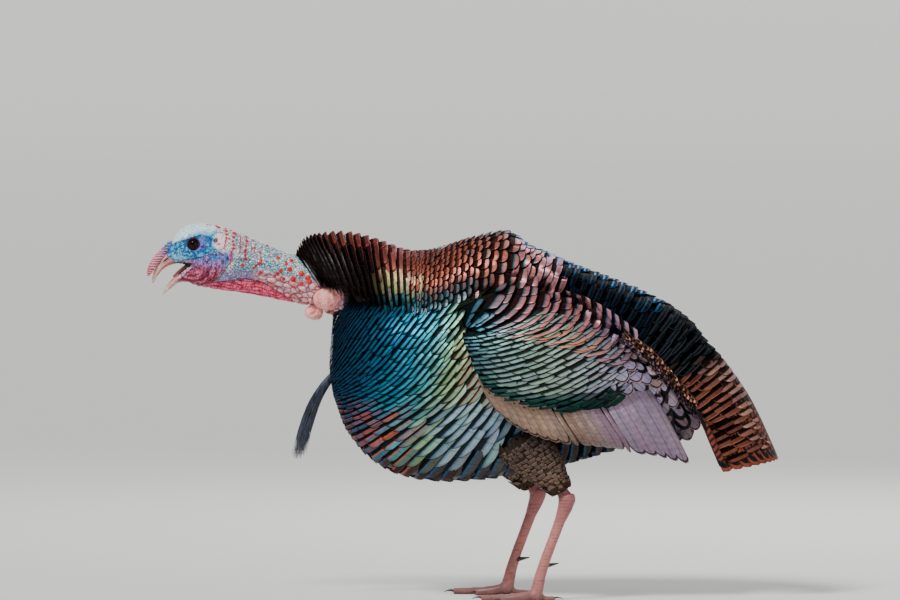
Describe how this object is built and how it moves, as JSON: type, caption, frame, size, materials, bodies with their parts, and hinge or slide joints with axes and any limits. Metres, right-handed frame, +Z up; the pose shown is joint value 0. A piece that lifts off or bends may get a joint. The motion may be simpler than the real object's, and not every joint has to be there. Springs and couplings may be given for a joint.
{
  "type": "wild turkey",
  "caption": "Life-size adult male wild turkey, standing low with its neck stretched forward and its bill open, ruff raised, tail folded and drooping.",
  "frame": {"origin": "on the floor, under the middle of the bird's length and width", "axes": "+Z up, the bird faces -X, its left side is at -Y"},
  "size_m": [0.948, 0.3038, 0.5607],
  "materials": {
    "head_skin": "bare pale blue and white skin, finely wrinkled, slightly moist",
    "neck_skin": "bare bluish white skin with small red nodules and dark bristles",
    "wattle_skin": "bare pink to crimson fleshy skin, soft sheen",
    "bill_horn": "pale horn with fine lengthwise growth lines",
    "eye": "dark brown iris under a clear wet cornea",
    "back_feathers": "iridescent copper and bronze vanes with black edges",
    "breast_feathers": "iridescent teal, green and copper vanes with black edges",
    "wing_feathers": "grey-green to salmon iridescent vanes with dark edges",
    "flight_feathers": "matt grey-brown vanes barred with white",
    "covert_feathers": "black vanes with bright blue edges",
    "tail_feathers": "chestnut vanes with narrow black bars",
    "thigh_feathers": "soft dusky brown vanes",
    "beard_bristles": "coarse black bristles with a blue-grey sheen",
    "leg_scales": "pinkish brown horny scutes",
    "claw_horn": "dark horn"
  },
  "bodies": {
    "root": {"beard": "beard_bristles", "caruncle_left": "wattle_skin", "caruncle_low": "wattle_skin", "caruncle_right": "wattle_skin", "claw_hind_left": "claw_horn", "claw_hind_right": "claw_horn", "claw_inner_left": "claw_horn", "claw_inner_right": "claw_horn", "claw_middle_left": "claw_horn", "claw_middle_right": "claw_horn", "claw_outer_left": "claw_horn", "claw_outer_right": "claw_horn", "dewlap": "wattle_skin", "eye_left": "eye", "eye_right": "eye", "flight_left": "flight_feathers", "flight_right": "flight_feathers", "foot_left": "leg_scales", "foot_right": "leg_scales", "head": "head_skin", "lower_bill": "bill_horn", "mantle": "back_feathers", "neck": "neck_skin", "shank_left": "leg_scales", "shank_right": "leg_scales", "snood": "wattle_skin", "spur_left": "claw_horn", "spur_right": "claw_horn", "tail": "tail_feathers", "tail_coverts": "covert_feathers", "thigh_left": "thigh_feathers", "thigh_right": "thigh_feathers", "tongue": "wattle_skin", "trunk": "breast_feathers", "upper_bill": "bill_horn", "wing_left": "wing_feathers", "wing_right": "wing_feathers"}
  },
  "joints": []
}
